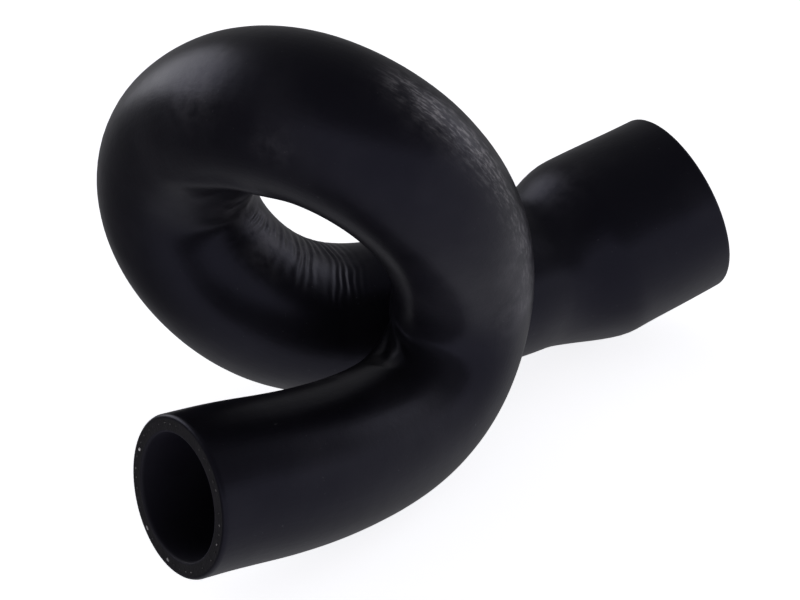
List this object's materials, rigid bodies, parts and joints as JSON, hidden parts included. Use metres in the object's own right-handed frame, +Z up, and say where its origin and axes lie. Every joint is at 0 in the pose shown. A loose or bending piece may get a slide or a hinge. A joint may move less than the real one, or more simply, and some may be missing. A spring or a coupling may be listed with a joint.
{
  "type": "coolant hose",
  "caption": "Moulded rubber coolant hose that doubles back over itself in one loop, open through its whole length, with a plain small end and a wider flared end.",
  "frame": {"origin": "middle of the hose's outline as it lies at rest, at the level of the surface it lies on", "axes": "+X along the hose's longest extent, from the small end towards the large flared end; +Z up as it lies; +Y across, the shortest extent, towards the back of the loop"},
  "size_m": [0.2326, 0.1204, 0.1297],
  "materials": {
    "hose_rubber": "satin moulded black EPDM rubber with fine moulding ripples, light dust and scuffs, and a ring of pale yarn ends on each cut end"
  },
  "bodies": {
    "root": {"hose": "hose_rubber"}
  },
  "joints": []
}
